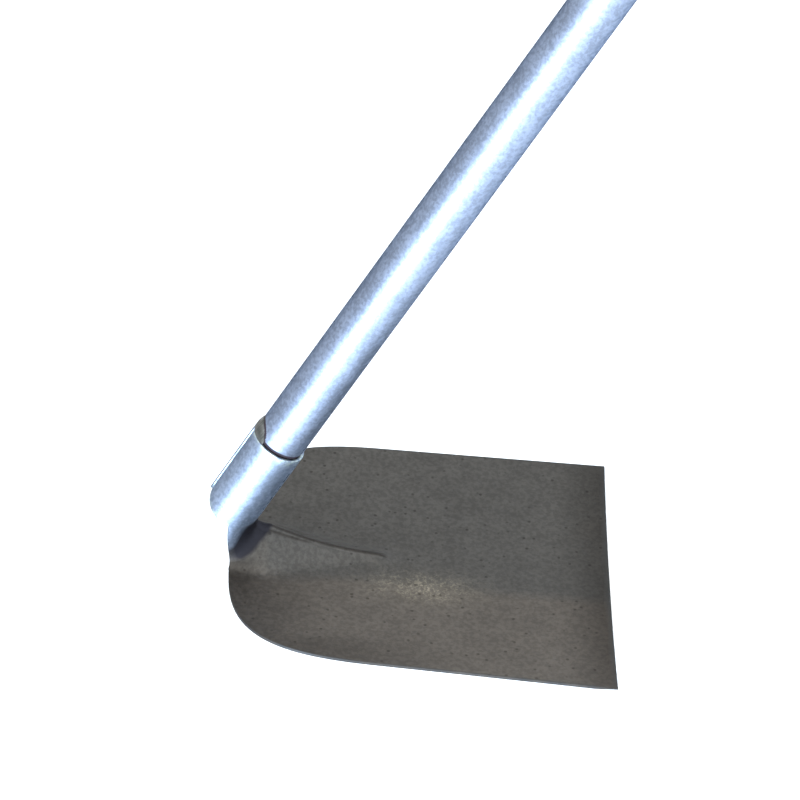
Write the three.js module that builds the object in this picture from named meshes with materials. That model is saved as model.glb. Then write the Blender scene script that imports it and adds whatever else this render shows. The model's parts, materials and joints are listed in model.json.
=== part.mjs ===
// Draw hoe: a pressed steel head whose blade, raised rib, neck and rolled socket are one sheet,
// a round steel tube handle swaged at its lower end, a weld that holds the two together at the
// back of the socket's mouth, and a plastic plug in the handle's far end.
//
// Lengths are in millimetres. The head is drawn in its own frame: X from the neck to the cutting
// edge, Y across the blade, Z out of the face that looks at the user. The whole hoe is then leaned
// over until it stands on its cutting edge and on the far end of its handle, with +Z up.

import * as THREE from 'three';

// ---- Driving dimensions ----

const BLADE_LENGTH = 238;
const EDGE_WIDTH = 220;
const NECK_END_WIDTH = 208.5;
const NECK_EDGE = 1;
const NECK_HALF_WIDTH = 26;
const SHOULDER_ALONG = 90;
const SHOULDER_PULL_ALONG = 55;
const SHOULDER_PULL_ACROSS = 65.5;
const EDGE_HOLLOW = 0.6;
const DISH_AT_NECK = 6;
const DISH_AT_EDGE = 3.5;

const SHEET = 2;
const BEVEL_LENGTH = 12;
const EDGE_THICKNESS = 0.8;

const RIB_LENGTH = 93;
const RIB_HEIGHT_AT_NECK = 30.9;
const RIB_HEIGHT_AT_TIP = 3.5;
const RIB_SAG = 5.7;
const RIB_TOP = 19.5;
const RIB_FLANK_AT_NECK = 0.9;
const RIB_FLANK_AT_TIP = 0.66;
const RIB_CREST_RADIUS = 1.2;
const RIB_FOOT_SOFTNESS = 1.6;
const RIB_FLANK_EASES_BY = 60;

const HANDLE_ANGLE = THREE.MathUtils.degToRad(65.5);
const AXIS_SETBACK = 13;
const SOCKET_OUTER_RADIUS = 17.5;
const SOCKET_MOUTH = 87.5;
const SOCKET_FOOT = 26;
const SEAM_GAP = 2.2;
const SEAM_CORNER_RISE = 12.5;
const SEAM_CORNER_ANGLE = THREE.MathUtils.degToRad(84);

const FILLET_TOP_AT_FRONT = 32;
const FILLET_FOOT_AT_FRONT = 22;
const FILLET_FOOT_AT_SIDE = 19.5;
const FILLET_FULLNESS = 0.6;
const FILLET_FOOT_PULL = 4.5;

const TUBE_RADIUS = 16;
const TUBE_WALL = 1.2;
const SPIGOT_RADIUS = 15;
const SPIGOT_START = 36;
const SPIGOT_SHOULDER = 87.6;
const SPIGOT_SHOULDER_HEIGHT = 3.6;
const HANDLE_END = 1230;

const WELD_SPREAD = THREE.MathUtils.degToRad(46);
const WELD_LEG = 10;
const WELD_END_HEIGHT = 0.25;
const WELD_OVERLAP = 0.2;
const WELD_BULGE = 0.9;
const GAP = 0.3;

const PLUG_FLANGE_RADIUS = 16.6;
const PLUG_FLANGE = 3.5;
const PLUG_DEPTH = 24;
const PLUG_WALL = 1.6;
const PLUG_ROUNDING = 1.4;
const PLUG_LEAD_IN = 2;

// ---- Derived values and directions ----

const SHEET_RADIUS = SOCKET_OUTER_RADIUS - SHEET / 2;
const SEAM_ANGLE = Math.PI - SEAM_GAP / 2 / SHEET_RADIUS;
const NOTCH_ANGLE = Math.PI / 2;
const AXIS_FOOT = new THREE.Vector3(-AXIS_SETBACK, 0, 0);
const ALONG_HANDLE = new THREE.Vector3(Math.cos(HANDLE_ANGLE), 0, Math.sin(HANDLE_ANGLE));
const FRONT = new THREE.Vector3(Math.sin(HANDLE_ANGLE), 0, -Math.cos(HANDLE_ANGLE));
const ACROSS = new THREE.Vector3(0, 1, 0);

const lerp = THREE.MathUtils.lerp;
const clamp01 = (value) => THREE.MathUtils.clamp(value, 0, 1);

function metal(color, roughness, metalness) {
  return new THREE.MeshStandardMaterial({ color, roughness, metalness });
}

function namedMesh(name, geometry, material) {
  const mesh = new THREE.Mesh(geometry, material);
  mesh.name = name;
  return mesh;
}

// ---- The head's sheet, as a surface midway through its thickness ----

function halfWidth(x) {
  return lerp(NECK_END_WIDTH, EDGE_WIDTH, x / BLADE_LENGTH) / 2;
}

// Height of the rib's crest, which sags a little between its ends and is cut level at the neck.
function crestHeight(x) {
  const along = Math.min(x / RIB_LENGTH, 1);
  const straight = lerp(RIB_HEIGHT_AT_NECK, RIB_HEIGHT_AT_TIP, along);
  return Math.min(straight - RIB_SAG * 4 * along * (1 - along), RIB_TOP);
}

// Height of the blade with its dish and rib, above the plane through the blade's side edges.
function bladeHeight(x, y) {
  const along = clamp01(x / BLADE_LENGTH);
  const dish = -lerp(DISH_AT_NECK, DISH_AT_EDGE, along) * (1 - (y / halfWidth(x)) ** 2);
  const pastTip = Math.max(x - RIB_LENGTH, 0);
  const flank = lerp(RIB_FLANK_AT_NECK, RIB_FLANK_AT_TIP, clamp01(x / RIB_FLANK_EASES_BY));
  const offCrest = Math.hypot(y, pastTip, RIB_CREST_RADIUS) - RIB_CREST_RADIUS;
  const rise = (crestHeight(x) - flank * offCrest) / RIB_FOOT_SOFTNESS;
  return dish + RIB_FOOT_SOFTNESS * Math.log1p(Math.exp(rise));
}

function onBlade(x, y) {
  return new THREE.Vector3(x, y, bladeHeight(x, y));
}

// A point on the socket's wall: angle 0 faces the blade, and a half turn is the seam at the back.
function onSocket(angle, along) {
  const radial = FRONT.clone().multiplyScalar(Math.cos(angle) * SHEET_RADIUS);
  radial.addScaledVector(ACROSS, Math.sin(angle) * SHEET_RADIUS);
  return AXIS_FOOT.clone().addScaledVector(ALONG_HANDLE, along).add(radial);
}

// Half of the blade's outline, from the middle of the cutting edge to the end of the shoulder:
// three stretches, each with its own share of the grid's columns.
const OUTLINE_COLUMNS = { edge: 12, side: 9, shoulder: 8 };
const SHARE_OF_TURN = { edge: 0.4, side: 0.75, shoulder: 1 };
const SHOULDER_CURVE = new THREE.CubicBezierCurve(
  new THREE.Vector2(SHOULDER_ALONG, halfWidth(SHOULDER_ALONG)),
  new THREE.Vector2(
    SHOULDER_ALONG - SHOULDER_PULL_ALONG,
    halfWidth(SHOULDER_ALONG - SHOULDER_PULL_ALONG),
  ),
  new THREE.Vector2(NECK_EDGE, NECK_HALF_WIDTH + SHOULDER_PULL_ACROSS),
  new THREE.Vector2(NECK_EDGE, NECK_HALF_WIDTH),
);

function edgePoint(t) {
  const hollow = EDGE_HOLLOW * (1 - t * t);
  return [BLADE_LENGTH - hollow, t * halfWidth(BLADE_LENGTH)];
}

function sidePoint(t) {
  const x = lerp(BLADE_LENGTH, SHOULDER_ALONG, t);
  return [x, halfWidth(x)];
}

function shoulderPoint(t) {
  const point = SHOULDER_CURVE.getPoint(t);
  return [point.x, point.y];
}

function bladeColumns() {
  const columns = [];
  const addStretch = (point, count, from, to) => {
    for (let i = 1; i <= count; i += 1) {
      const share = lerp(from, to, i / count);
      columns.push({ angle: share * NOTCH_ANGLE, end: point(i / count) });
    }
  };
  columns.push({ angle: 0, end: edgePoint(0) });
  addStretch(edgePoint, OUTLINE_COLUMNS.edge, 0, SHARE_OF_TURN.edge);
  addStretch(sidePoint, OUTLINE_COLUMNS.side, SHARE_OF_TURN.edge, SHARE_OF_TURN.side);
  addStretch(shoulderPoint, OUTLINE_COLUMNS.shoulder, SHARE_OF_TURN.side, SHARE_OF_TURN.shoulder);
  return columns;
}

const WALL_ROWS = 6;
const FILLET_ROWS = 8;
const RUN_ROWS = 16;
const LOBE_COLUMNS = 14;
const RUN_CROWDING = 1.3;
const TANGENT_STEP = 0.02;

// One grid line of the sheet: down the socket's wall, round the neck, and out to the outline.
function bladeLine({ angle, end }) {
  const side = Math.sin(angle);
  const top = lerp(FILLET_TOP_AT_FRONT, SOCKET_FOOT, side * side);
  const footX = lerp(NECK_EDGE, FILLET_FOOT_AT_FRONT, Math.cos(angle));
  const footY = FILLET_FOOT_AT_SIDE * side;
  const wallFoot = onSocket(angle, top);
  const landing = onBlade(footX, footY);
  const justBeyond = onBlade(lerp(footX, end[0], TANGENT_STEP), lerp(footY, end[1], TANGENT_STEP));
  const outward = justBeyond.sub(landing).normalize();
  const down = ALONG_HANDLE.clone().negate();
  const turnBack = side / Math.tan(HANDLE_ANGLE);
  down.addScaledVector(FRONT, turnBack * side);
  down.addScaledVector(ACROSS, -turnBack * Math.cos(angle));
  down.normalize();
  const reach = wallFoot.distanceTo(landing) * FILLET_FULLNESS;
  const bend = new THREE.CubicBezierCurve3(
    wallFoot,
    wallFoot.clone().addScaledVector(down, reach),
    landing.clone().addScaledVector(outward, -FILLET_FOOT_PULL),
    landing,
  );
  const points = [];
  for (let i = 0; i < WALL_ROWS; i += 1) {
    points.push(onSocket(angle, lerp(SOCKET_MOUTH, top, i / WALL_ROWS)));
  }
  for (let i = 0; i < FILLET_ROWS; i += 1) {
    points.push(bend.getPoint(i / FILLET_ROWS));
  }
  for (let i = 0; i <= RUN_ROWS; i += 1) {
    const t = (i / RUN_ROWS) ** RUN_CROWDING;
    points.push(onBlade(lerp(footX, end[0], t), lerp(footY, end[1], t)));
  }
  return points;
}

// One grid line of the rolled flap behind the notch, with its rounded lower corner at the seam.
function flapLine(angle) {
  const toSeam = clamp01((angle - (SEAM_ANGLE - SEAM_CORNER_ANGLE)) / SEAM_CORNER_ANGLE);
  const foot = SOCKET_FOOT + SEAM_CORNER_RISE * (1 - Math.sqrt(1 - toSeam * toSeam * 0.98));
  const points = [];
  for (let i = 0; i <= WALL_ROWS; i += 1) {
    points.push(onSocket(angle, lerp(SOCKET_MOUTH, foot, i / WALL_ROWS)));
  }
  return points;
}

function halfSheetLines() {
  const lines = bladeColumns().map(bladeLine);
  for (let i = 1; i <= LOBE_COLUMNS; i += 1) {
    lines.push(flapLine(lerp(NOTCH_ANGLE, SEAM_ANGLE, i / LOBE_COLUMNS)));
  }
  return lines;
}

// The two mirrored halves share the line down the middle of the head.
function sheetGrid() {
  const half = halfSheetLines();
  const mirrored = half.slice(1).map((line) => line.map((p) => new THREE.Vector3(p.x, -p.y, p.z)));
  return [...mirrored.reverse(), ...half];
}

function sheetGeometry() {
  const lines = sheetGrid();
  const positions = [];
  const firstIndex = [];
  for (const line of lines) {
    firstIndex.push(positions.length / 3);
    line.forEach((p) => positions.push(p.x, p.y, p.z));
  }
  const index = [];
  for (let c = 0; c + 1 < lines.length; c += 1) {
    const rows = Math.min(lines[c].length, lines[c + 1].length);
    for (let r = 0; r + 1 < rows; r += 1) {
      const a = firstIndex[c] + r;
      const b = firstIndex[c + 1] + r;
      index.push(a, a + 1, b, b, a + 1, b + 1);
    }
  }
  const geometry = new THREE.BufferGeometry();
  geometry.setAttribute('position', new THREE.Float32BufferAttribute(positions, 3));
  geometry.setIndex(index);
  geometry.computeVertexNormals();
  return geometry;
}

// ---- From surface to sheet metal ----

function edgesUsedOnce(index) {
  const edges = new Map();
  for (let i = 0; i < index.length; i += 3) {
    for (let k = 0; k < 3; k += 1) {
      const from = index[i + k];
      const to = index[i + (k + 1) % 3];
      if (!edges.delete(`${to},${from}`)) {
        edges.set(`${from},${to}`, [from, to]);
      }
    }
  }
  return [...edges.values()];
}

// The sheet thins to the cutting edge from its back face only, as a ground bevel does.
function sheetBackDepth(x) {
  const intoBevel = clamp01((x - (BLADE_LENGTH - BEVEL_LENGTH)) / BEVEL_LENGTH);
  return lerp(SHEET / 2, EDGE_THICKNESS - SHEET / 2, intoBevel);
}

function thicken(surface) {
  const position = surface.getAttribute('position');
  const normal = surface.getAttribute('normal');
  const count = position.count;
  const points = new Float32Array(count * 6);
  const point = new THREE.Vector3();
  const out = new THREE.Vector3();
  for (let i = 0; i < count; i += 1) {
    point.fromBufferAttribute(position, i);
    out.fromBufferAttribute(normal, i);
    point.clone().addScaledVector(out, SHEET / 2).toArray(points, i * 3);
    point.clone().addScaledVector(out, -sheetBackDepth(point.x)).toArray(points, (count + i) * 3);
  }
  const front = Array.from(surface.getIndex().array);
  const index = [...front];
  for (let i = 0; i < front.length; i += 3) {
    index.push(front[i] + count, front[i + 2] + count, front[i + 1] + count);
  }
  for (const [from, to] of edgesUsedOnce(front)) {
    index.push(from, from + count, to, to, from + count, to + count);
  }
  const solid = new THREE.BufferGeometry();
  solid.setAttribute('position', new THREE.BufferAttribute(points, 3));
  solid.setIndex(index);
  return solid;
}

function hoeHead() {
  return namedMesh('hoe_head', thicken(sheetGeometry()), metal(0x66645f, 0.55, 0.8));
}

// ---- The handle and what is on it, drawn along the handle's own axis ----

const ROUND_SEGMENTS = 40;

// A lathe turns about Y, and this stands its axis up along Z.
function turned(profile, segments = ROUND_SEGMENTS) {
  const points = profile.map(([radius, along]) => new THREE.Vector2(radius, along));
  return new THREE.LatheGeometry(points, segments).rotateX(Math.PI / 2);
}

function shoulderProfile(smallRadius, largeRadius) {
  const steps = 4;
  const profile = [];
  for (let i = 0; i <= steps; i += 1) {
    const turn = i / steps * Math.PI / 2;
    const radius = lerp(smallRadius, largeRadius, Math.sin(turn));
    profile.push([radius, SPIGOT_SHOULDER + SPIGOT_SHOULDER_HEIGHT * (1 - Math.cos(turn))]);
  }
  return profile;
}

function handleTube() {
  const outer = [[SPIGOT_RADIUS, SPIGOT_START]];
  outer.push(...shoulderProfile(SPIGOT_RADIUS, TUBE_RADIUS), [TUBE_RADIUS, HANDLE_END]);
  const inner = [[TUBE_RADIUS - TUBE_WALL, HANDLE_END]];
  inner.push(...shoulderProfile(SPIGOT_RADIUS - TUBE_WALL, TUBE_RADIUS - TUBE_WALL).reverse());
  inner.push([SPIGOT_RADIUS - TUBE_WALL, SPIGOT_START]);
  const profile = [...outer, ...inner, outer[0]];
  return namedMesh('handle_tube', turned(profile), metal(0xb4bfce, 0.35, 0.9));
}

function endPlug() {
  const face = HANDLE_END + GAP + PLUG_FLANGE;
  const skirt = TUBE_RADIUS - TUBE_WALL - GAP;
  const profile = [
    [0, HANDLE_END - PLUG_WALL],
    [skirt - PLUG_WALL, HANDLE_END - PLUG_WALL],
    [skirt - PLUG_WALL, HANDLE_END - PLUG_DEPTH],
    [skirt - PLUG_WALL / 3, HANDLE_END - PLUG_DEPTH],
    [skirt, HANDLE_END - PLUG_DEPTH + PLUG_LEAD_IN],
    [skirt, HANDLE_END + GAP],
    [PLUG_FLANGE_RADIUS, HANDLE_END + GAP],
    [PLUG_FLANGE_RADIUS, face - PLUG_ROUNDING],
    [PLUG_FLANGE_RADIUS - PLUG_ROUNDING * 0.3, face - PLUG_ROUNDING * 0.3],
    [PLUG_FLANGE_RADIUS - PLUG_ROUNDING, face],
    [0, face],
  ];
  return namedMesh('end_plug', turned(profile), metal(0x1b1c1e, 0.7, 0));
}

// The weld bead lies on the socket's rim against the tube, round the back of the mouth.
class WeldArc extends THREE.Curve {
  getPoint(t, target = new THREE.Vector3()) {
    const angle = Math.PI + lerp(-WELD_SPREAD, WELD_SPREAD, t);
    const middle = SOCKET_OUTER_RADIUS;
    return target.set(middle * Math.cos(angle), middle * Math.sin(angle), 0);
  }
}

// An extrusion along this arc takes its section's x down the handle and its y in towards the tube.
function weldSection() {
  const toTube = SOCKET_OUTER_RADIUS - TUBE_RADIUS - GAP;
  const section = new THREE.Shape();
  section.moveTo(0, toTube);
  section.lineTo(0, -WELD_OVERLAP);
  section.quadraticCurveTo(-WELD_LEG * 0.35, -WELD_BULGE, -WELD_LEG * 0.55, 0);
  section.quadraticCurveTo(-WELD_LEG * 0.75, toTube - WELD_OVERLAP, -WELD_LEG, toTube);
  section.closePath();
  return section;
}

function taperWeldEnds(geometry) {
  const position = geometry.getAttribute('position');
  for (let i = 0; i < position.count; i += 1) {
    const fromBack = Math.PI - Math.abs(Math.atan2(position.getY(i), position.getX(i)));
    const toEnd = clamp01(fromBack / WELD_SPREAD);
    const height = lerp(WELD_END_HEIGHT, 1, Math.sqrt(1 - toEnd * toEnd));
    position.setZ(i, position.getZ(i) * height);
  }
}

function mouthWeld() {
  const geometry = new THREE.ExtrudeGeometry(weldSection(), {
    steps: 18,
    curveSegments: 4,
    extrudePath: new WeldArc(),
  });
  taperWeldEnds(geometry);
  geometry.translate(0, 0, SOCKET_MOUTH + GAP);
  return namedMesh('mouth_weld', geometry, metal(0x5d5f59, 0.6, 0.6));
}

// ---- Assembly: the handle's frame inside the head's frame, and the hoe leaned to stand ----

function handleGroup() {
  const group = new THREE.Group();
  group.add(handleTube(), mouthWeld(), endPlug());
  group.position.copy(AXIS_FOOT);
  group.rotation.y = Math.PI / 2 - HANDLE_ANGLE;
  return group;
}

// The floor touches the corners of the cutting edge and the rim of the plug's flange.
function floorDirection() {
  const rim = HANDLE_END + GAP + PLUG_FLANGE - PLUG_ROUNDING;
  const touch = AXIS_FOOT.clone().addScaledVector(ALONG_HANDLE, rim);
  touch.addScaledVector(FRONT, PLUG_FLANGE_RADIUS);
  const lowestOfBlade = new THREE.Vector3(BLADE_LENGTH, 0, SHEET / 2 - EDGE_THICKNESS);
  return touch.sub(lowestOfBlade).normalize();
}

function drawHoe() {
  const leaned = new THREE.Group();
  leaned.add(hoeHead(), handleGroup());
  const floor = floorDirection();
  leaned.rotation.y = Math.atan2(floor.z, floor.x);
  const hoe = new THREE.Group();
  hoe.add(leaned);
  const box = new THREE.Box3().setFromObject(hoe, true);
  const middle = box.getCenter(new THREE.Vector3());
  leaned.position.set(-middle.x, -middle.y, -box.min.z);
  return hoe;
}

export default drawHoe();
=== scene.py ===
"""Draw hoe: the looks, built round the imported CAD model.

The head, the handle, the weld and the plug are rebuilt as fine meshes in the places that the CAD
pieces hold, each with a procedural material. Sizes are in millimetres in the head's own frame:
X from the neck to the cutting edge, Y across the blade, Z out of the face that looks at the user.
Placed points are in metres in the CAD frame.
"""

import json
import math

import bpy
import numpy as np
from mathutils import Matrix, Vector


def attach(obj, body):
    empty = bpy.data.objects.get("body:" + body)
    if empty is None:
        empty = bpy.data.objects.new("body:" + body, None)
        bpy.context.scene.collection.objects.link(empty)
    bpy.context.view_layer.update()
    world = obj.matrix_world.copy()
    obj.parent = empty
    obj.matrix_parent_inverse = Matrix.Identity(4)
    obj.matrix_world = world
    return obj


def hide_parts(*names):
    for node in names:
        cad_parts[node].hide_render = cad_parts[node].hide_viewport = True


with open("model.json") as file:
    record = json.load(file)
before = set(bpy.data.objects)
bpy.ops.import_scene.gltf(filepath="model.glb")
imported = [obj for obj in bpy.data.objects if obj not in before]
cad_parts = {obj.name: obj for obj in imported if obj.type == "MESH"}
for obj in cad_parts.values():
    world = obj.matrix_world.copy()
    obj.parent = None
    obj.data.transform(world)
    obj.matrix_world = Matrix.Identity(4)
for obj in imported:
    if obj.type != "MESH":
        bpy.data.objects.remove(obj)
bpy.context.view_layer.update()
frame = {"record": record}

MM = 0.001

# ---- The head's and the handle's own sizes, as in the CAD model ----

BLADE_LENGTH = 238
EDGE_WIDTH = 220
NECK_END_WIDTH = 208.5
NECK_EDGE = 1
NECK_HALF_WIDTH = 26
SHOULDER_ALONG = 90
SHOULDER_PULL_ALONG = 55
SHOULDER_PULL_ACROSS = 65.5
EDGE_HOLLOW = 0.6
DISH_AT_NECK = 6
DISH_AT_EDGE = 3.5

SHEET = 2
BEVEL_LENGTH = 12
EDGE_THICKNESS = 0.8

RIB_LENGTH = 93
RIB_HEIGHT_AT_NECK = 30.9
RIB_HEIGHT_AT_TIP = 3.5
RIB_SAG = 5.7
RIB_TOP = 19.5
RIB_FLANK_AT_NECK = 0.9
RIB_FLANK_AT_TIP = 0.66
RIB_CREST_RADIUS = 1.2
RIB_FOOT_SOFTNESS = 1.6
RIB_FLANK_EASES_BY = 60

HANDLE_ANGLE = math.radians(65.5)
AXIS_SETBACK = 13
SOCKET_OUTER_RADIUS = 17.5
SOCKET_MOUTH = 87.5
SOCKET_FOOT = 26
SEAM_GAP = 2.2
SEAM_CORNER_RISE = 12.5
SEAM_CORNER_FULLNESS = 0.98
SEAM_CORNER_ANGLE = math.radians(84)

FILLET_TOP_AT_FRONT = 32
FILLET_FOOT_AT_FRONT = 22
FILLET_FOOT_AT_SIDE = 19.5
FILLET_FULLNESS = 0.6
FILLET_FOOT_PULL = 4.5

TUBE_RADIUS = 16
TUBE_WALL = 1.2
SPIGOT_RADIUS = 15
SPIGOT_START = 36
SPIGOT_SHOULDER = 87.6
SPIGOT_SHOULDER_HEIGHT = 3.6
HANDLE_END = 1230

WELD_SPREAD = math.radians(46)
WELD_LEG = 10
GAP = 0.3

PLUG_FLANGE = 3.5
PLUG_DEPTH = 24
PLUG_WALL = 1.6
PLUG_ROUNDING = 1.4

# ---- Fine detail that only the looks have, and what keeps them inside the CAD model's box ----

RIM_ROUNDING = 0.3
BACK_INSET = 0.12
PLUG_FLANGE_RADIUS = 16.45

BEAD_HEIGHT = 0.34
BEAD_WIDTH_AT_NECK = 1.9
BEAD_WIDTH_AT_TIP = 0.9
BEAD_NARROWS_FROM = 20
BEAD_NARROWS_OVER = 40
BEAD_DIES_AT = RIB_LENGTH + 4
BEAD_DIES_OVER = 30
CREASE_DEPTH = 0.22
CREASE_OUT = 1.9
CREASE_SPREAD = 0.55

SHEET_RADIUS = SOCKET_OUTER_RADIUS - SHEET / 2
SEAM_ANGLE = math.pi - SEAM_GAP / 2 / SHEET_RADIUS
NOTCH_ANGLE = math.pi / 2

AXIS_FOOT = np.array([-AXIS_SETBACK, 0, 0])
ALONG_HANDLE = np.array([math.cos(HANDLE_ANGLE), 0, math.sin(HANDLE_ANGLE)])
FRONT = np.array([math.sin(HANDLE_ANGLE), 0, -math.cos(HANDLE_ANGLE)])
ACROSS = np.array([0, 1, 0])


def lerp(a, b, t):
    return a + (b - a) * t


def clamp01(value):
    return min(max(value, 0.0), 1.0)


def ease(t):
    t = clamp01(t)
    return t * t * (3 - 2 * t)


def past(value, start, over):
    """Rises from 0 where value passes start to 1 a stretch further on."""
    return ease((value - start) / over)


# ---- From the head's frame to the CAD frame: the plug's outer face says where the handle ends ----

def head_to_cad():
    mount = frame["record"]["mounts"][0]
    axis = np.array(mount["axis"])
    lean = math.atan2(ALONG_HANDLE[2], ALONG_HANDLE[0]) - math.atan2(axis[2], axis[0])
    turn = np.array(Matrix.Rotation(lean, 3, "Y"))
    end_face = AXIS_FOOT + ALONG_HANDLE * (HANDLE_END + GAP + PLUG_FLANGE)
    return turn, np.array(mount["pos_m"]) - turn @ end_face * MM


TURN, SHIFT = head_to_cad()


def placed(points):
    return np.asarray(points, float) @ TURN.T * MM + SHIFT


def on_handle(angle, radius, along):
    """A point round the handle's axis: angle 0 faces the blade, and a half turn is the back."""
    radial = FRONT * math.cos(angle) + ACROSS * math.sin(angle)
    return AXIS_FOOT + ALONG_HANDLE * along + radial * radius


# ---- Mesh helpers ----

def mesh_object(name, points, faces, attributes=None):
    mesh = bpy.data.meshes.new(name)
    mesh.from_pydata([tuple(p) for p in placed(points)], [], faces)
    for key, values in (attributes or {}).items():
        layer = mesh.attributes.new(key, "FLOAT", "POINT")
        layer.data.foreach_set("value", np.asarray(values, np.float32))
    mesh.shade_smooth()
    mesh.validate()
    piece = bpy.data.objects.new(name, mesh)
    bpy.context.scene.collection.objects.link(piece)
    return piece


def ring_faces(rings, segments, closed_profile):
    """Quads between rings of points that go round an axis."""
    faces = []
    last = rings if closed_profile else rings - 1
    for i in range(last):
        j = (i + 1) % rings
        for k in range(segments):
            n = (k + 1) % segments
            faces.append((i * segments + k, i * segments + n, j * segments + n, j * segments + k))
    return faces


# ---- The head's sheet ----

def half_width(x):
    return lerp(NECK_END_WIDTH, EDGE_WIDTH, x / BLADE_LENGTH) / 2


def crest_height(x):
    along = min(x / RIB_LENGTH, 1)
    straight = lerp(RIB_HEIGHT_AT_NECK, RIB_HEIGHT_AT_TIP, along)
    return min(straight - RIB_SAG * 4 * along * (1 - along), RIB_TOP)


def bead_width(x):
    narrowed = clamp01((x - BEAD_NARROWS_FROM) / BEAD_NARROWS_OVER)
    return lerp(BEAD_WIDTH_AT_NECK, BEAD_WIDTH_AT_TIP, narrowed)


def crest_bead(x, y):
    """A fine bead along the crest with a crease on either side, dying out down the rib."""
    width = bead_width(x)
    bead = BEAD_HEIGHT * math.exp(-((y / width) ** 2))
    off_crease = (abs(y) - CREASE_OUT * width) / (CREASE_SPREAD * width)
    creases = CREASE_DEPTH * math.exp(-(off_crease ** 2))
    return ease((BEAD_DIES_AT - x) / BEAD_DIES_OVER) * (bead - creases)


def blade_height(x, y):
    along = clamp01(x / BLADE_LENGTH)
    dish = -lerp(DISH_AT_NECK, DISH_AT_EDGE, along) * (1 - (y / half_width(x)) ** 2)
    past_tip = max(x - RIB_LENGTH, 0)
    flank = lerp(RIB_FLANK_AT_NECK, RIB_FLANK_AT_TIP, clamp01(x / RIB_FLANK_EASES_BY))
    off_crest = math.hypot(y, past_tip, RIB_CREST_RADIUS) - RIB_CREST_RADIUS
    rise = (crest_height(x) - flank * off_crest) / RIB_FOOT_SOFTNESS
    return dish + RIB_FOOT_SOFTNESS * math.log1p(math.exp(rise)) + crest_bead(x, y)


def on_blade(x, y):
    return np.array([x, y, blade_height(x, y)])


EDGE_COLUMNS = 44
SIDE_COLUMNS = 30
SHOULDER_COLUMNS = 26
LOBE_COLUMNS = 40
WALL_ROWS = 24
FILLET_ROWS = 26
RUN_ROWS = 64
RUN_CROWDING = 1.3
WALL_CROWDING = 0.7
COLUMN_CROWDING = 1.5
FADE_LENGTH = 12
OUTWARD_STEP = 0.02
BLADE_MARKS = ("warm", "painted_highlight", "painted_shade", "crease_shade")
NO_BLADE_MARKS = (0.0, 0.0, 0.0, 0.0)
EDGE_SHARE = 0.4
SIDE_SHARE = 0.75


def edge_point(t):
    return BLADE_LENGTH - EDGE_HOLLOW * (1 - t * t), t * half_width(BLADE_LENGTH)


def side_point(t):
    x = lerp(BLADE_LENGTH, SHOULDER_ALONG, t)
    return x, half_width(x)


def bezier(a, b, c, d, t):
    s = 1 - t
    return a * s ** 3 + b * 3 * s * s * t + c * 3 * s * t * t + d * t ** 3


def shoulder_point(t):
    pulled = SHOULDER_ALONG - SHOULDER_PULL_ALONG
    x = bezier(SHOULDER_ALONG, pulled, NECK_EDGE, NECK_EDGE, t)
    ends = half_width(SHOULDER_ALONG), half_width(pulled)
    return x, bezier(*ends, NECK_HALF_WIDTH + SHOULDER_PULL_ACROSS, NECK_HALF_WIDTH, t)


def blade_columns():
    columns = [(0.0, edge_point(0))]
    stretches = [
        (edge_point, EDGE_COLUMNS, 0, EDGE_SHARE, COLUMN_CROWDING),
        (side_point, SIDE_COLUMNS, EDGE_SHARE, SIDE_SHARE, 1),
        (shoulder_point, SHOULDER_COLUMNS, SIDE_SHARE, 1, 1),
    ]
    for point, count, start, stop, crowding in stretches:
        for i in range(1, count + 1):
            t = (i / count) ** crowding
            columns.append((lerp(start, stop, t) * NOTCH_ANGLE, point(t)))
    return columns


# Down a grid line, 0 is the fillet's top and 1 its foot. Round the neck, side goes from 0 at its
# front to 1 at its edge.
# The zinc's edge down the neck is the socket's own finish, and its shape also paints shade on the
# neck's front and a highlight down its sides
ZINC_SIDE_POWER = 5
ZINC_FADES_FROM = -1.0, -0.1
ZINC_GONE_BY = 0.25, 0.75
# Painted shade in the neck's hollow between the socket and the blade: where it rises and fades
NECK_SHADE_RISES_FROM = -1.1
NECK_SHADE_RISES_OVER = 1.6
NECK_SHADE_FADES_FROM = 1.0, 0.7
NECK_SHADE_FADES_OVER = 0.5
NECK_SHADE_SIDE_GAIN = 2.2
NECK_SHADE_LOST_AT_RIM = 0.35
NECK_SHADE_RIM_FROM = 0.93


def wrap_of_zinc(along_fillet, side):
    """How much zinc is left: it stops high on the wall's front, and low at the neck's sides, so
    that it also paints shade on the neck's front and a highlight down its sides.
    """
    start = lerp(*ZINC_FADES_FROM, side ** ZINC_SIDE_POWER)
    stop = lerp(*ZINC_GONE_BY, side ** ZINC_SIDE_POWER)
    return 1 - past(along_fillet, start, stop - start)


def painted_neck_shade(along_fillet, side):
    """Painted shade in the neck's hollow, which stops sharply at the fillet's foot."""
    rise = past(along_fillet, NECK_SHADE_RISES_FROM, NECK_SHADE_RISES_OVER)
    fades_from = lerp(*NECK_SHADE_FADES_FROM, clamp01(NECK_SHADE_SIDE_GAIN * side))
    stop = 1 - past(along_fillet, fades_from, NECK_SHADE_FADES_OVER)
    return rise * stop * (1 - NECK_SHADE_LOST_AT_RIM * past(side, NECK_SHADE_RIM_FROM, 1 - NECK_SHADE_RIM_FROM))


# The warm mark, the painted highlight and the painted shade zones lie on the blade's half where Y
# is below 0.
# A painted shade zone holds its strength, then where it starts and over how far it comes in, along
# -X and along -Y.
WARM_FROM, WARM_OVER = 14, 22
# Painted highlight: a pale patch on the blade's face, broken into flecks
HIGHLIGHT_AT = 121, -26
HIGHLIGHT_SPREAD = 29, 13
# Painted shade that darkens the blade towards its cutting edge
EDGE_SHADE_FROM, EDGE_SHADE_OVER = 200, 40
SHADE_ZONES = (
    (0.85, (78, 75), (10, 50)),
    (0.8, (150, 100), (68, 30)),
    (0.9, (27, 18), (13, 8)),
)


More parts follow.
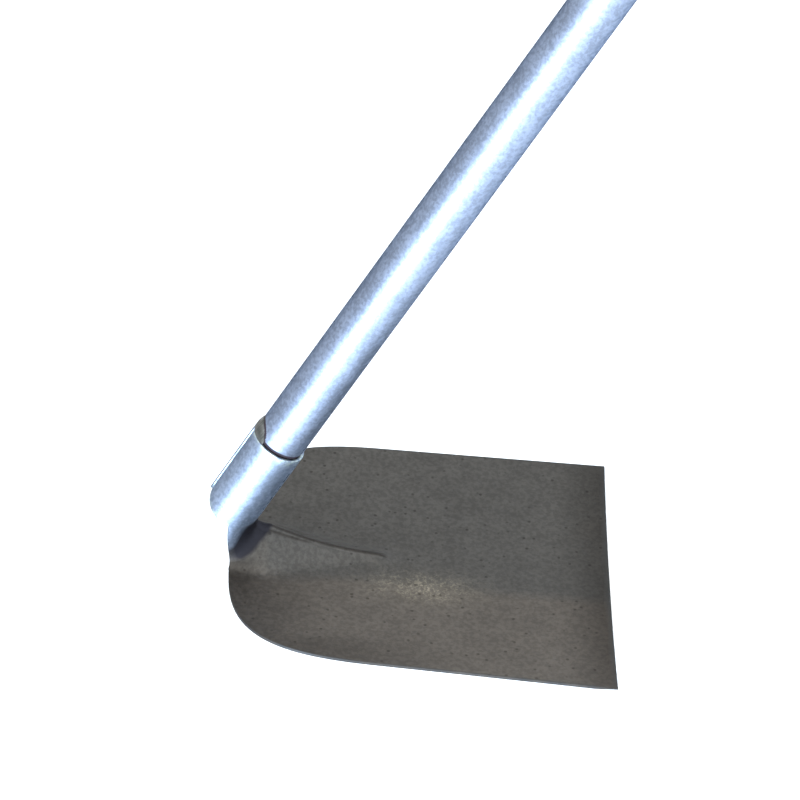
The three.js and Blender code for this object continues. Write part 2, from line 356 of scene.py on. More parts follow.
def blade_marks(x, y):
    """Where the lacquer is browner, and where the blade's face gets a painted highlight or painted
    shade.
    """
    warm = past(-y, WARM_FROM, WARM_OVER)
    off_x = (x - HIGHLIGHT_AT[0]) / HIGHLIGHT_SPREAD[0]
    off_y = (y - HIGHLIGHT_AT[1]) / HIGHLIGHT_SPREAD[1]
    painted_highlight = math.exp(-(off_x ** 2) - off_y ** 2)
    painted_shade = past(x, EDGE_SHADE_FROM, EDGE_SHADE_OVER)
    for strength, (x_from, x_over), (y_from, y_over) in SHADE_ZONES:
        painted_shade = max(painted_shade, strength * past(-x, -x_from, x_over) * past(-y, y_from, y_over))
    return warm, painted_highlight, painted_shade, painted_crease_shade(x, y)


# Painted shade along the creases beside the crest's bead: where it ends, and its far and near
# strips
CREASE_SHADE_ENDS = RIB_LENGTH + 8
CREASE_SHADE_ENDS_OVER = 6
FAR_SHADE_FROM, FAR_SHADE_OVER = -2.0, 1.3
FAR_SHADE_WIDTH = 2.2
NEAR_SHADE_SPREAD = 0.5
NEAR_SHADE_ENDS, NEAR_SHADE_ENDS_OVER = 60, 20


def painted_crease_shade(x, y):
    """Painted shade in the creases beside the crest's bead."""
    width = bead_width(x)
    fade = past(-x, -CREASE_SHADE_ENDS, CREASE_SHADE_ENDS_OVER)
    far = past(y, FAR_SHADE_FROM, FAR_SHADE_OVER) * (1 - past(y, FAR_SHADE_WIDTH * width, width))
    off_crease = (-y - CREASE_OUT * width) / (NEAR_SHADE_SPREAD * width)
    near = math.exp(-(off_crease ** 2)) * past(-x, -NEAR_SHADE_ENDS, NEAR_SHADE_ENDS_OVER)
    return fade * max(far, near)


def blade_line(angle, end):
    """One grid line: down the socket's wall, round the neck, and out to the blade's outline."""
    side = math.sin(angle)
    top = lerp(FILLET_TOP_AT_FRONT, SOCKET_FOOT, side * side)
    foot_x = lerp(NECK_EDGE, FILLET_FOOT_AT_FRONT, math.cos(angle))
    foot_y = FILLET_FOOT_AT_SIDE * side
    wall_foot = on_handle(angle, SHEET_RADIUS, top)
    landing = on_blade(foot_x, foot_y)
    ahead = lerp(foot_x, end[0], OUTWARD_STEP), lerp(foot_y, end[1], OUTWARD_STEP)
    outward = on_blade(*ahead) - landing
    outward /= np.linalg.norm(outward)
    turn_back = side / math.tan(HANDLE_ANGLE)
    down = -ALONG_HANDLE + FRONT * turn_back * side - ACROSS * turn_back * math.cos(angle)
    down /= np.linalg.norm(down)
    reach = np.linalg.norm(wall_foot - landing) * FILLET_FULLNESS
    elbow = wall_foot + down * reach
    heel = landing - outward * FILLET_FOOT_PULL
    line = []
    marks = []
    for i in range(WALL_ROWS):
        along = lerp(SOCKET_MOUTH, top, (i / WALL_ROWS) ** WALL_CROWDING)
        line.append(on_handle(angle, SHEET_RADIUS, along))
        above = (top - along) / FADE_LENGTH
        marks.append((wrap_of_zinc(above, side), painted_neck_shade(above, side), False))
    for i in range(FILLET_ROWS):
        t = i / FILLET_ROWS
        line.append(bezier(wall_foot, elbow, heel, landing, t))
        marks.append((wrap_of_zinc(t, side), painted_neck_shade(t, side), False))
    for i in range(RUN_ROWS + 1):
        t = (i / RUN_ROWS) ** RUN_CROWDING
        point = on_blade(lerp(foot_x, end[0], t), lerp(foot_y, end[1], t))
        beyond = 1 + np.linalg.norm(point - landing) / FADE_LENGTH
        line.append(point)
        marks.append((0.0, painted_neck_shade(beyond, side), True))
    return line, marks


def flap_line(angle):
    """One grid line of the rolled flap behind the notch, with its rounded corner at the seam."""
    to_seam = clamp01((angle - (SEAM_ANGLE - SEAM_CORNER_ANGLE)) / SEAM_CORNER_ANGLE)
    drop = math.sqrt(1 - SEAM_CORNER_FULLNESS * to_seam * to_seam)
    foot = SOCKET_FOOT + SEAM_CORNER_RISE * (1 - drop)
    rows = range(WALL_ROWS + 1)
    line = [on_handle(angle, SHEET_RADIUS, lerp(SOCKET_MOUTH, foot, i / WALL_ROWS)) for i in rows]
    return line, [(1.0, 0.0, False)] * len(line)


def head_lines():
    half = [blade_line(angle, end) for angle, end in blade_columns()]
    for i in range(1, LOBE_COLUMNS + 1):
        half.append(flap_line(lerp(NOTCH_ANGLE, SEAM_ANGLE, i / LOBE_COLUMNS)))
    mirror = np.array([1, -1, 1])
    other = [([p * mirror for p in line], marks) for line, marks in reversed(half[1:])]
    return other + half


def sheet_surface():
    points, marks, first = [], [], []
    lines = head_lines()
    for line, line_marks in lines:
        first.append(len(points))
        points.extend(line)
        marks.extend(line_marks)
    faces = []
    for c in range(len(lines) - 1):
        rows = min(len(lines[c][0]), len(lines[c + 1][0]))
        for r in range(rows - 1):
            a, b = first[c] + r, first[c + 1] + r
            faces.append((a, a + 1, b + 1, b))
    return np.array(points), np.array(faces), marks


def vertex_normals(points, faces):
    a, b, c, d = (points[faces[:, k]] for k in range(4))
    face_normals = np.cross(c - a, d - b)
    normals = np.zeros_like(points)
    for k in range(4):
        np.add.at(normals, faces[:, k], face_normals)
    return normals / np.linalg.norm(normals, axis=1)[:, None]


def open_edges(faces):
    edges = {}
    for face in faces.tolist():
        for k in range(4):
            a, b = face[k], face[(k + 1) % 4]
            if edges.pop((b, a), None) is None:
                edges[(a, b)] = True
    return list(edges)


def back_depth(x):
    into_bevel = np.clip((x - (BLADE_LENGTH - BEVEL_LENGTH)) / BEVEL_LENGTH, 0, 1)
    return lerp(SHEET / 2, EDGE_THICKNESS - SHEET / 2, into_bevel) - BACK_INSET


RIM_SHARE = 0.4
RIM_PROFILE = (0.5, 0.13), (0.87, 0.5), (1.0, 1.0)


def rim_rounding(front, back):
    return min(RIM_ROUNDING, np.linalg.norm(front - back) * RIM_SHARE)


def thicken(points, faces, surface_marks):
    """Gives the surface its two faces and a rounded rim."""
    count = len(points)
    normals = vertex_normals(points, faces)
    depth = back_depth(points[:, 0])
    front = points + normals * SHEET / 2
    back = points - normals * depth[:, None]
    edges = open_edges(faces)
    outward = np.zeros_like(points)
    for a, b in edges:
        side = np.cross(points[b] - points[a], normals[a])
        side /= max(np.linalg.norm(side), 1e-9)
        outward[a] += side
        outward[b] += side
    rim_ids = sorted({v for edge in edges for v in edge})
    lengths = np.linalg.norm(outward[rim_ids], axis=1)
    outward[rim_ids] /= lengths[:, None]
    for v in rim_ids:
        inset = outward[v] * rim_rounding(front[v], back[v])
        front[v] -= inset
        back[v] -= inset
    all_points = [*front, *back]
    marks = [*surface_marks, *surface_marks]
    rim = [0.0] * (2 * count)
    rings = {v: [v] for v in rim_ids}
    for v in rim_ids:
        thickness = np.linalg.norm(front[v] - back[v])
        rounding = rim_rounding(front[v], back[v])
        steps = [(out, inset * rounding) for out, inset in RIM_PROFILE]
        steps += [(out, thickness - inset * rounding) for out, inset in reversed(RIM_PROFILE)]
        for out, along in steps:
            rings[v].append(len(all_points))
            all_points.append(front[v] - normals[v] * along + outward[v] * out * rounding)
            marks.append(surface_marks[v])
            rim.append(1.0)
        rings[v].append(count + v)
        rim[v] = 1.0
        rim[count + v] = 1.0
    quads = [tuple(f) for f in faces.tolist()]
    quads += [tuple(count + v for v in reversed(f)) for f in faces.tolist()]
    for a, b in edges:
        for k in range(len(rings[a]) - 1):
            quads.append((rings[a][k], rings[a][k + 1], rings[b][k + 1], rings[b][k]))
    zinc, neck_shade, on_blade_face = zip(*marks)
    attributes = {"zinc": zinc, "neck_shade": neck_shade, "rim": rim}
    on_face = [
        blade_marks(p[0], p[1]) if is_blade else NO_BLADE_MARKS
        for p, is_blade in zip(all_points, on_blade_face)
    ]
    for i, name in enumerate(BLADE_MARKS):
        attributes[name] = [values[i] for values in on_face]
    return np.array(all_points), quads, attributes


def build_head():
    points, faces, attributes = thicken(*sheet_surface())
    return mesh_object("pressed_head", points, faces, attributes)


# ---- The handle ----

ROUND_SEGMENTS = 128
LIP = 0.3
SHOULDER_STEPS = 8
SHOULDER_LEAD = 6
FINE_RING_STEP = 0.7
FINE_RINGS = 27
PLAIN_RINGS = 40
PLAIN_RINGS_FROM = 20
BORE_RING_FROM = 40
# Where the weld's burnt zinc and the painted shade in the groove at the mouth lie on the handle
GROOVE_SHADE_BELOW_SHOULDER = 1.6
BURNT_BESIDE_WELD = 0.9
TINT_AND_SHADE_FADE = 0.9


def shoulder_profile(small, large):
    """The swaged shoulder: a quarter arc from the spigot's radius out to the tube's."""
    profile = []
    for i in range(SHOULDER_STEPS + 1):
        t = i / SHOULDER_STEPS * math.pi / 2
        along = SPIGOT_SHOULDER + SPIGOT_SHOULDER_HEIGHT * (1 - math.cos(t))
        profile.append((lerp(small, large, math.sin(t)), along))
    return profile


def handle_profile():
    """Up the outside and back down the bore. The rings are close where the weld's burnt zinc and
    the groove's painted shade are.
    """
    under_shoulder = SPIGOT_SHOULDER - SHOULDER_LEAD
    top = SPIGOT_SHOULDER + SPIGOT_SHOULDER_HEIGHT
    outer = [(SPIGOT_RADIUS - LIP, SPIGOT_START), (SPIGOT_RADIUS, SPIGOT_START + LIP)]
    outer += [(SPIGOT_RADIUS, under_shoulder)]
    outer += shoulder_profile(SPIGOT_RADIUS, TUBE_RADIUS)
    outer += [(TUBE_RADIUS, top + FINE_RING_STEP * i) for i in range(1, FINE_RINGS + 1)]
    for i in range(PLAIN_RINGS + 1):
        along = lerp(top + PLAIN_RINGS_FROM, HANDLE_END - 1, i / PLAIN_RINGS)
        outer.append((TUBE_RADIUS, along))
    outer += [(TUBE_RADIUS, HANDLE_END - LIP), (TUBE_RADIUS - LIP, HANDLE_END)]
    bore = TUBE_RADIUS - TUBE_WALL
    throat = SPIGOT_RADIUS - TUBE_WALL
    inner = [(bore + LIP / 2, HANDLE_END), (bore, HANDLE_END - LIP)]
    inner += [(bore, top + BORE_RING_FROM)]
    inner += reversed(shoulder_profile(throat, bore))
    inner += [(throat, under_shoulder), (throat, SPIGOT_START + LIP)]
    inner += [(throat + LIP, SPIGOT_START)]
    return outer + inner


def lathe(profile, segments, closed_profile=True):
    """Turns a profile of radii and places along the handle into points and faces round its axis."""
    points = []
    for radius, along in profile:
        for k in range(segments):
            points.append(on_handle(math.tau * k / segments, radius, along))
    return points, ring_faces(len(profile), segments, closed_profile)


def weld_height(angle):
    """The weld's height above the mouth, as an ellipse that dies out at its two ends."""
    t = (math.pi - abs(angle)) / WELD_SPREAD
    return WELD_LEG * math.sqrt(max(1 - t * t, 0.0))


def heat_tint_and_groove_shade(angle, along):
    """The zinc is burnt off just beside the weld, and the groove at the mouth gets the same dark
    colour as painted shade.
    """
    groove = SPIGOT_SHOULDER + SPIGOT_SHOULDER_HEIGHT - GROOVE_SHADE_BELOW_SHOULDER
    edge = max(groove, SOCKET_MOUTH + weld_height(angle) + BURNT_BESIDE_WELD)
    return 1 - past(along, edge, TINT_AND_SHADE_FADE)


def build_handle():
    profile = handle_profile()
    points, faces = lathe(profile, ROUND_SEGMENTS)
    turns = [math.tau * k / ROUND_SEGMENTS for k in range(ROUND_SEGMENTS)]
    turns = [math.remainder(turn, math.tau) for turn in turns]
    # burnt: the weld's burnt zinc, and painted shade in the groove at the mouth
    burnt = [heat_tint_and_groove_shade(turn, along) for _, along in profile for turn in turns]
    return mesh_object("steel_handle", points, faces, {"burnt": burnt})


# ---- The weld bead ----

WELD_ARC_STEPS = 150
WELD_SECTION_STEPS = 20
WELD_CLEARANCE = 0.15
WELD_STANDS_OFF = 0.1
WELD_RIPPLES = 17
WELD_RIPPLE_DEPTH = 0.14
WELD_RIPPLE_SHARPNESS = 0.6
WELD_WANDERS = (0.07, 5.3, 0.7), (0.05, 13.1, 0)
WELD_LEAST_SWELL = 0.03
WELD_GIRTH_AT_ENDS = 0.35
WELD_SECTION_HEIGHT = 0.98
WELD_LEAN = 1.7
WELD_LEAST_WIDTH = 0.12


def build_weld():
    """A rippled bead on the mouth's rim, thick at its foot and thin where it meets the tube."""
    inner = TUBE_RADIUS + WELD_CLEARANCE
    full_girth = SOCKET_OUTER_RADIUS + WELD_CLEARANCE - inner
    base = SOCKET_MOUTH + WELD_STANDS_OFF
    points = []
    for i in range(WELD_ARC_STEPS + 1):
        t = lerp(-1, 1, i / WELD_ARC_STEPS)
        angle = math.pi + t * WELD_SPREAD
        swell = math.sqrt(max(1 - t * t, 0.0))
        phase = (i / WELD_ARC_STEPS * WELD_RIPPLES) % 1
        crest = math.sin(math.pi * phase) ** WELD_RIPPLE_SHARPNESS
        ripple = 1 - WELD_RIPPLE_DEPTH + WELD_RIPPLE_DEPTH * crest
        wander = 1 + sum(size * math.sin(rate * t + shift) for size, rate, shift in WELD_WANDERS)
        height = WELD_LEG * max(swell, WELD_LEAST_SWELL) * ripple * wander
        girth = full_girth * lerp(WELD_GIRTH_AT_ENDS, 1, swell)
        for k in range(WELD_SECTION_STEPS):
            around = math.tau * k / WELD_SECTION_STEPS
            bulge = math.sin(around) * 0.5 + 0.5
            rise = height * (0.5 - 0.5 * math.cos(around)) * WELD_SECTION_HEIGHT
            thinned = 1 - (rise / height) ** WELD_LEAN
            width = girth * thinned * bulge * ripple + WELD_LEAST_WIDTH * bulge
            points.append(on_handle(angle, inner + width, base + rise))
    faces = ring_faces(WELD_ARC_STEPS + 1, WELD_SECTION_STEPS, False)
    last_ring = WELD_ARC_STEPS * WELD_SECTION_STEPS
    faces.append(tuple(range(WELD_SECTION_STEPS)))
    faces.append(tuple(reversed(range(last_ring, last_ring + WELD_SECTION_STEPS))))
    return mesh_object("weld_bead", points, faces)


# ---- The plug ----

PLUG_SEGMENTS = 96
PLUG_CORNER_STEPS = 6
PLUG_BEVEL = 0.8
PLUG_LEAD_IN = 2.5
PLUG_NECK = 0.4
PLUG_EDGE = 0.3
RECESS_RADIUS = 9.0
RECESS_SLOPE = 0.4
RECESS_DEPTH = 0.25
GATE_RADIUS = 2.0
GATE_SLOPE = 0.2
GATE_DEPTH = 0.6
AXIS_HOLE = 0.01


def plug_profile():
    """From the floor inside, down the skirt's inside, up its outside, and over the flange."""
    under = HANDLE_END + GAP
    face = under + PLUG_FLANGE
    floor = HANDLE_END - PLUG_WALL
    foot = HANDLE_END - PLUG_DEPTH
    skirt = TUBE_RADIUS - TUBE_WALL - GAP
    inside = skirt - PLUG_WALL
    profile = [(AXIS_HOLE, floor), (inside - PLUG_BEVEL, floor), (inside, floor - PLUG_BEVEL)]
    profile += [(inside, foot), (skirt - PLUG_BEVEL, foot), (skirt, foot + PLUG_LEAD_IN)]
    profile += [(skirt, under - PLUG_NECK), (skirt + PLUG_EDGE, under)]
    profile += [(PLUG_FLANGE_RADIUS - PLUG_EDGE, under), (PLUG_FLANGE_RADIUS, under + PLUG_EDGE)]
    for i in range(PLUG_CORNER_STEPS + 1):
        t = i / PLUG_CORNER_STEPS * math.pi / 2
        radius = PLUG_FLANGE_RADIUS - PLUG_ROUNDING + PLUG_ROUNDING * math.cos(t)
        profile.append((radius, face - PLUG_ROUNDING + PLUG_ROUNDING * math.sin(t)))
    recess = face - RECESS_DEPTH
    gate = face - GATE_DEPTH
    profile += [(RECESS_RADIUS, face), (RECESS_RADIUS - RECESS_SLOPE, recess)]
    profile += [(GATE_RADIUS + GATE_SLOPE, recess), (GATE_RADIUS, gate), (AXIS_HOLE, gate)]
    return profile


def build_plug():
    points, faces = lathe(plug_profile(), PLUG_SEGMENTS, closed_profile=False)
    return mesh_object("handle_plug", points, faces)


# ---- Material helpers ----

class Nodes:
    """A short way to write a node tree: most methods add a node and return its output."""

    def __init__(self, name):
        self.material = bpy.data.materials.new(name)
        self.material.use_nodes = True
        self.tree = self.material.node_tree
        self.shader = self.tree.nodes["Principled BSDF"]
        self.place = self.add("ShaderNodeTexCoord").outputs["Object"]

    def add(self, kind, **settings):
        node = self.tree.nodes.new(kind)
        for key, value in settings.items():
            setattr(node, key, value)
        return node

    def put(self, socket, value):
        if isinstance(value, bpy.types.NodeSocket):
            self.tree.links.new(value, socket)
        else:
            socket.default_value = value

    def noise(self, scale, detail=2.0, roughness=0.5, distortion=0.0):
        node = self.add("ShaderNodeTexNoise")
        self.put(node.inputs["Vector"], self.place)
        node.inputs["Scale"].default_value = scale
        node.inputs["Detail"].default_value = detail
        node.inputs["Roughness"].default_value = roughness
        node.inputs["Distortion"].default_value = distortion
        return node.outputs["Fac"]

    def cells(self, scale):
        node = self.add("ShaderNodeTexVoronoi")
        self.put(node.inputs["Vector"], self.place)
        node.inputs["Scale"].default_value = scale
        return node.outputs["Distance"]

    def attribute(self, name):
        return self.add("ShaderNodeAttribute", attribute_name=name).outputs["Fac"]

    def ramp(self, value, *stops):
        node = self.add("ShaderNodeValToRGB")
        self.put(node.inputs["Fac"], value)
        elements = node.color_ramp.elements
        while len(elements) < len(stops):
            elements.new(0.5)
        for element, (position, colour) in zip(elements, stops):
            rgb = colour if isinstance(colour, tuple) else (colour,) * 3
            element.position = position
            element.color = (*rgb, 1)
        return node.outputs["Color"]

    def between(self, value, low, high, to_low=0.0, to_high=1.0):
        node = self.add("ShaderNodeMapRange")
        self.put(node.inputs["Value"], value)
        numbers = {"From Min": low, "From Max": high, "To Min": to_low, "To Max": to_high}
        for key, number in numbers.items():
            self.put(node.inputs[key], number)
        return node.outputs["Result"]

    def math(self, operation, a, b):
        node = self.add("ShaderNodeMath", operation=operation)
        self.put(node.inputs[0], a)
        self.put(node.inputs[1], b)
        return node.outputs[0]

    def mix(self, factor, a, b, blend="MIX"):
        node = self.add("ShaderNodeMix", data_type="RGBA", blend_type=blend)
        self.put(node.inputs[0], factor)
        for socket, colour in ((node.inputs[6], a), (node.inputs[7], b)):
            self.put(socket, (*colour, 1) if isinstance(colour, tuple) else colour)
        return node.outputs[2]

    def mix_value(self, factor, a, b):
        node = self.add("ShaderNodeMix", data_type="FLOAT")
        self.put(node.inputs[0], factor)
        self.put(node.inputs[2], a)
        self.put(node.inputs[3], b)
        return node.outputs[0]

    def bump(self, height, strength, distance):
        node = self.add("ShaderNodeBump")
        self.put(node.inputs["Height"], height)
        node.inputs["Strength"].default_value = strength
        node.inputs["Distance"].default_value = distance
        return node.outputs["Normal"]

    def finish(self, **values):
        for key, value in values.items():
            socket = key.replace("_", " ").title().replace("Ior", "IOR")
            self.put(self.shader.inputs[socket], value)
        return self.material


# ---- Materials ----

# Noise scales, in cells per metre
ZINC_GRAIN, ZINC_DIMPLES, ZINC_HAZE, ZINC_TONE = 430, 210, 150, 42
TINT_AND_SHADE_EDGE = 260
BLADE_CLOUD, BLADE_PATCH, BLADE_SPECK, BLADE_FLECKS, BLADE_PITS = 11, 60, 330, 340, 150
RIM_SHADE_BREAKUP = 90
WELD_SPOTS, WELD_BURNS = 420, 120
PLUG_GRAIN, PLUG_SCUFFS = 900, 70
FLOOR_CLOUD = 3

TUBE_ZINC = (0.180, 0.214, 0.280), (0.260, 0.308, 0.403)
# The socket's zinc is a lighter copy of the tube's zinc: painted light that makes up for the shade
# its flanks see
SHEET_ZINC = (0.190, 0.232, 0.300), (0.275, 0.330, 0.430)
ZINC_EDGE_TINT = (0.02, 0.03, 0.06)
# Paler, greener zinc for the painted glints along the zinc's cut edges
ZINC_RIM = (0.42, 0.50, 0.50)
# Dark steel for the weld's burnt zinc and for the painted shade in the groove
BURNT_AND_SHADED_STEEL = (0.030, 0.024, 0.030)
BLADE_BROWN = (0.076, 0.068, 0.059)
BLADE_GREY = (0.058, 0.056, 0.052)
# Pale colour of the painted highlight on the blade
BLADE_HIGHLIGHT = (0.185, 0.166, 0.130)
BLADE_PIT = (0.55, 0.54, 0.53)
# Tint of the painted shade on the blade's darker zones
BLADE_SHADE_TINT = (0.55, 0.54, 0.535)
# Tint of the painted shade in the creases beside the crest
CREASE_SHADE_TINT = (0.46, 0.43, 0.41)
BLADE_EDGE_TINT = (0.8, 0.8, 0.8)
# Near-black colour of the painted shade in the neck's hollow
NECK_SHADE_COLOUR = (0.013, 0.013, 0.017)
# Near-black colour of the painted shade on the steel's cut edges
RIM_STEEL = (0.020, 0.021, 0.022)
WELD_DARK, WELD_DULL = (0.02, 0.022, 0.019), (0.05, 0.049, 0.044)
WELD_BRIGHT = (0.13, 0.135, 0.135)
PLUG_BLACK, PLUG_SCUFFED = (0.018, 0.018, 0.02), (0.05, 0.05, 0.052)
LOW_GLOSS = 0.25


def zinc_look(n, dark, light):
    """Bright zinc: fine hammered grain, slow changes of tone, and a gloss that wanders."""
    grain = n.noise(ZINC_GRAIN, detail=3, roughness=0.6, distortion=0.4)
    tone = n.noise(ZINC_TONE, detail=3)
    mixed = n.math("ADD", n.math("MULTIPLY", grain, 0.7), n.math("MULTIPLY", tone, 0.3))
    colour = n.ramp(mixed, (0.41, dark), (0.59, light))
    haze = n.math("ADD", grain, n.noise(ZINC_HAZE))
    roughness = n.between(haze, 0.7, 1.3, 0.47, 0.53)
    height = n.math("ADD", grain, n.math("MULTIPLY", n.noise(ZINC_DIMPLES), 0.8))
    return colour, roughness, height


def zinc_tube():
    n = Nodes("zinc_tube")
    colour, roughness, height = zinc_look(n, *TUBE_ZINC)
    wander = n.between(n.noise(TINT_AND_SHADE_EDGE, detail=3), 0, 1, -0.2, 0.2)
    # burnt: the weld's burnt zinc, and painted shade in the groove at the mouth
    burnt = n.between(n.math("ADD", n.attribute("burnt"), wander), 0.35, 0.65)
    return n.finish(
        base_color=n.mix(burnt, colour, BURNT_AND_SHADED_STEEL),
        metallic=n.between(burnt, 0, 1, 1.0, 0.3),
        roughness=roughness,
        specular_tint=(*ZINC_EDGE_TINT, 1),
        normal=n.bump(height, strength=0.12, distance=0.0004),
    )


def darkened(n, factor, colour, tint):
    return n.mix(factor, colour, n.mix(1.0, colour, tint, "MULTIPLY"))


def blade_colour(n, patch, speck):
    """Dull lacquer over steel: mottled, browner on one side, with a painted highlight broken into
    flecks, and painted shade in zones and beside the crest's bead.
    """
    cloud = n.noise(BLADE_CLOUD, detail=4, roughness=0.55, distortion=0.6)
    warm = n.math("ADD", n.attribute("warm"), n.between(cloud, 0.3, 0.7, -0.25, 0.25))
    base = n.mix(n.between(warm, 0.15, 0.85), BLADE_GREY, BLADE_BROWN)
    flecks = n.noise(BLADE_FLECKS, detail=3, roughness=0.7, distortion=1.2)
    highlight_breakup = n.between(n.between(flecks, 0.50, 0.60), 0, 1, 0.25, 1.0)
    # Painted highlight, broken into flecks
    painted_highlight = n.math("MULTIPLY", n.attribute("painted_highlight"), highlight_breakup)
    base = n.mix(painted_highlight, base, BLADE_HIGHLIGHT)
    speck_shade = n.between(speck, 0.4, 0.6, 0.85, 1.15)
    patch_shade = n.between(patch, 0.4, 0.6, 0.94, 1.06)
    shade = n.math("MULTIPLY", speck_shade, patch_shade)
    shade = n.ramp(n.math("MULTIPLY", shade, 0.5), (0, 0.0), (1, 2.0))
    colour = n.mix(1.0, base, shade, "MULTIPLY")
    pits = n.between(n.cells(BLADE_PITS), 0.20, 0.10)
    pits = n.math("MULTIPLY", pits, n.between(patch, 0.44, 0.52))
    colour = darkened(n, pits, colour, BLADE_PIT)
    # Painted shade on the blade's darker zones and towards its cutting edge
    colour = darkened(n, n.attribute("painted_shade"), colour, BLADE_SHADE_TINT)
    # Painted shade in the creases beside the crest's bead
    return darkened(n, n.attribute("crease_shade"), colour, CREASE_SHADE_TINT)


def pressed_steel():
    n = Nodes("pressed_steel")
    zinc_colour, zinc_roughness, zinc_height = zinc_look(n, *SHEET_ZINC)
    patch = n.noise(BLADE_PATCH, detail=3)
    speck = n.noise(BLADE_SPECK, detail=3, roughness=0.65)
    ragged_edge = n.between(patch, 0, 1, -0.12, 0.12)
    zinc = n.between(n.math("ADD", n.attribute("zinc"), ragged_edge), 0.15, 0.8)
    # Painted shade in the neck's hollow, laid over the blade's colour
    neck_shade = n.between(n.math("ADD", n.attribute("neck_shade"), ragged_edge), 0.2, 0.8)
    rim = n.attribute("rim")
    # Painted shade on the steel's cut edges, broken up by noise
    rim_shade_breakup = n.between(n.noise(RIM_SHADE_BREAKUP, detail=3), 0.35, 0.6, 0.95, 0.6)
    painted_rim_shade = n.math("MULTIPLY", rim, rim_shade_breakup)
    # Painted glints speckled along the zinc's cut edges
    painted_rim_glints = n.math("MULTIPLY", rim, n.between(speck, 0.45, 0.6))
    zinc_colour = n.mix(painted_rim_glints, zinc_colour, ZINC_RIM)
    steel_colour = n.mix(neck_shade, blade_colour(n, patch, speck), NECK_SHADE_COLOUR)
    steel_colour = n.mix(painted_rim_shade, steel_colour, RIM_STEEL)
    steel_roughness = n.between(n.math("ADD", patch, speck), 0.7, 1.3, 0.46, 0.58)
    height = n.mix_value(zinc, speck, zinc_height)
    return n.finish(
        base_color=n.mix(zinc, steel_colour, zinc_colour),
        metallic=n.mix_value(zinc, n.between(painted_rim_shade, 0, 1, 0.7, 0.0), 1.0),
        roughness=n.mix_value(zinc, steel_roughness, zinc_roughness),
        specular_tint=n.mix(zinc, BLADE_EDGE_TINT, ZINC_EDGE_TINT),
        specular_ior_level=LOW_GLOSS,
        normal=n.bump(height, strength=0.14, distance=0.0004),
    )


def weld_metal():
    n = Nodes("weld_metal")
    spots = n.noise(WELD_SPOTS, detail=3, roughness=0.6)
    burnt = n.noise(WELD_BURNS, detail=3)
    return n.finish(
        base_color=n.ramp(burnt, (0.38, WELD_DARK), (0.55, WELD_DULL), (0.68, WELD_BRIGHT)),
        metallic=0.2,
        roughness=n.between(spots, 0.3, 0.7, 0.42, 0.62),
        normal=n.bump(spots, strength=0.4, distance=0.0005),
    )


def black_plastic():
    n = Nodes("black_plastic")
    grain = n.noise(PLUG_GRAIN)
    scuffs = n.noise(PLUG_SCUFFS, detail=4, roughness=0.7)
    return n.finish(
        base_color=n.mix(n.between(scuffs, 0.5, 0.75), PLUG_BLACK, PLUG_SCUFFED),
        roughness=n.between(scuffs, 0.3, 0.7, 0.5, 0.7),
        specular_ior_level=LOW_GLOSS,
        normal=n.bump(grain, strength=0.15, distance=0.0002),
    )


# ---- Assembly ----

def fit_piece(piece, node, material):
    piece.data.materials.clear()
    piece.data.materials.append(material)
    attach(piece, "root")
    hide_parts(node)


def build_hoe():
    fit_piece(build_head(), "hoe_head", pressed_steel())
    fit_piece(build_handle(), "handle_tube", zinc_tube())
    fit_piece(build_weld(), "mouth_weld", weld_metal())
    fit_piece(build_plug(), "end_plug", black_plastic())


# ---- Studio: floor, lights and camera ----

FLOOR_RADIUS = 7.0
FLOOR_SEGMENTS = 96
FLOOR_COLOUR = (0.92, 0.92, 0.92)
FLOOR_TINT = 0.985
SKY_COLOUR = (0.96, 0.98, 1.0)
SKY_STRENGTH = 1.18

# Each light: azimuth and elevation in degrees, distance, size, power and colour
LIGHTS = {
    "band_light": (-119, 23, 3.0, 0.8, 196, (0.60, 0.78, 1.0)),
    "side_light": (-82, 17, 2.6, 1.0, 80, (1.0, 1.0, 1.0)),
    "fill_light": (-8, 26, 2.6, 1.5, 45, (1.0, 0.98, 0.95)),
}

CAMERA_AZIMUTH = math.radians(-55.2825)
CAMERA_ELEVATION = math.radians(11.7499)
CAMERA_ROLL = math.radians(-73.1939)
CAMERA_DISTANCE = 2.42
CAMERA_SENSOR = 36
CAMERA_LENS = 176.4
CAMERA_REACH = 30
CAMERA_AIM = Vector((-0.5013, 0.0512, 0.1570))


def direction(azimuth, elevation):
    level = math.cos(elevation)
    return Vector((level * math.cos(azimuth), level * math.sin(azimuth), math.sin(elevation)))


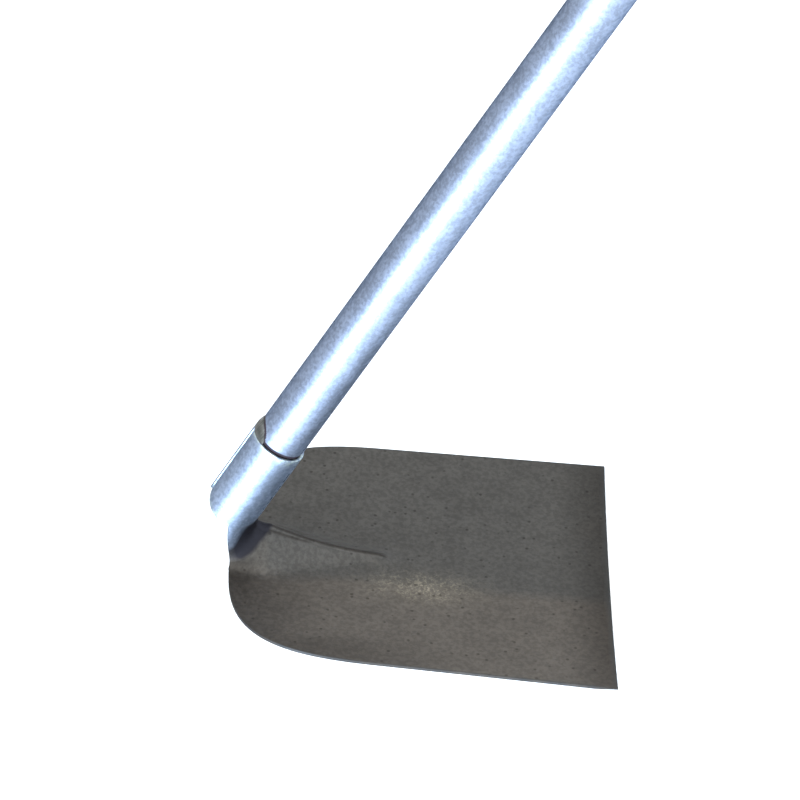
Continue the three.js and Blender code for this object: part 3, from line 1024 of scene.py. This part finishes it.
def build_floor():
    points = [(0, 0, 0)]
    for k in range(FLOOR_SEGMENTS):
        turn = math.tau * k / FLOOR_SEGMENTS
        points.append((FLOOR_RADIUS * math.cos(turn), FLOOR_RADIUS * math.sin(turn), 0))
    faces = [(0, k + 1, (k + 1) % FLOOR_SEGMENTS + 1) for k in range(FLOOR_SEGMENTS)]
    mesh = bpy.data.meshes.new("studio_floor")
    mesh.from_pydata(points, [], faces)
    floor = bpy.data.objects.new("studio_floor", mesh)
    bpy.context.scene.collection.objects.link(floor)
    n = Nodes("pale_floor")
    tinted = tuple(c * FLOOR_TINT for c in FLOOR_COLOUR)
    colour = n.mix(n.noise(FLOOR_CLOUD), FLOOR_COLOUR, tinted)
    mesh.materials.append(n.finish(base_color=colour, roughness=0.9))


def area_light(name, azimuth, elevation, distance, size, power, colour):
    """A square light that faces the point the camera looks at."""
    data = bpy.data.lights.new(name, "AREA")
    data.shape = "SQUARE"
    data.size = size
    data.energy = power
    data.color = colour
    towards = direction(math.radians(azimuth), math.radians(elevation))
    lamp = bpy.data.objects.new(name, data)
    bpy.context.scene.collection.objects.link(lamp)
    lamp.location = CAMERA_AIM + towards * distance
    lamp.rotation_euler = (CAMERA_AIM - lamp.location).to_track_quat("-Z", "Y").to_euler()


def build_lights():
    world = bpy.data.worlds.new("studio")
    world.use_nodes = True
    background = world.node_tree.nodes["Background"]
    background.inputs["Color"].default_value = (*SKY_COLOUR, 1)
    background.inputs["Strength"].default_value = SKY_STRENGTH
    bpy.context.scene.world = world
    for name, settings in LIGHTS.items():
        area_light(name, *settings)


def build_camera():
    data = bpy.data.cameras.new("camera")
    data.sensor_width = CAMERA_SENSOR
    data.lens = CAMERA_LENS
    data.clip_end = CAMERA_REACH
    camera = bpy.data.objects.new("camera", data)
    bpy.context.scene.collection.objects.link(camera)
    towards = direction(CAMERA_AZIMUTH, CAMERA_ELEVATION)
    level = towards.to_track_quat("Z", "Y").to_matrix().to_4x4()
    roll = Matrix.Rotation(CAMERA_ROLL, 4, "Z")
    camera.matrix_world = Matrix.Translation(CAMERA_AIM + towards * CAMERA_DISTANCE) @ level @ roll
    bpy.context.scene.camera = camera


build_hoe()
build_floor()
build_lights()
build_camera()
bpy.context.scene.view_settings.view_transform = "Standard"
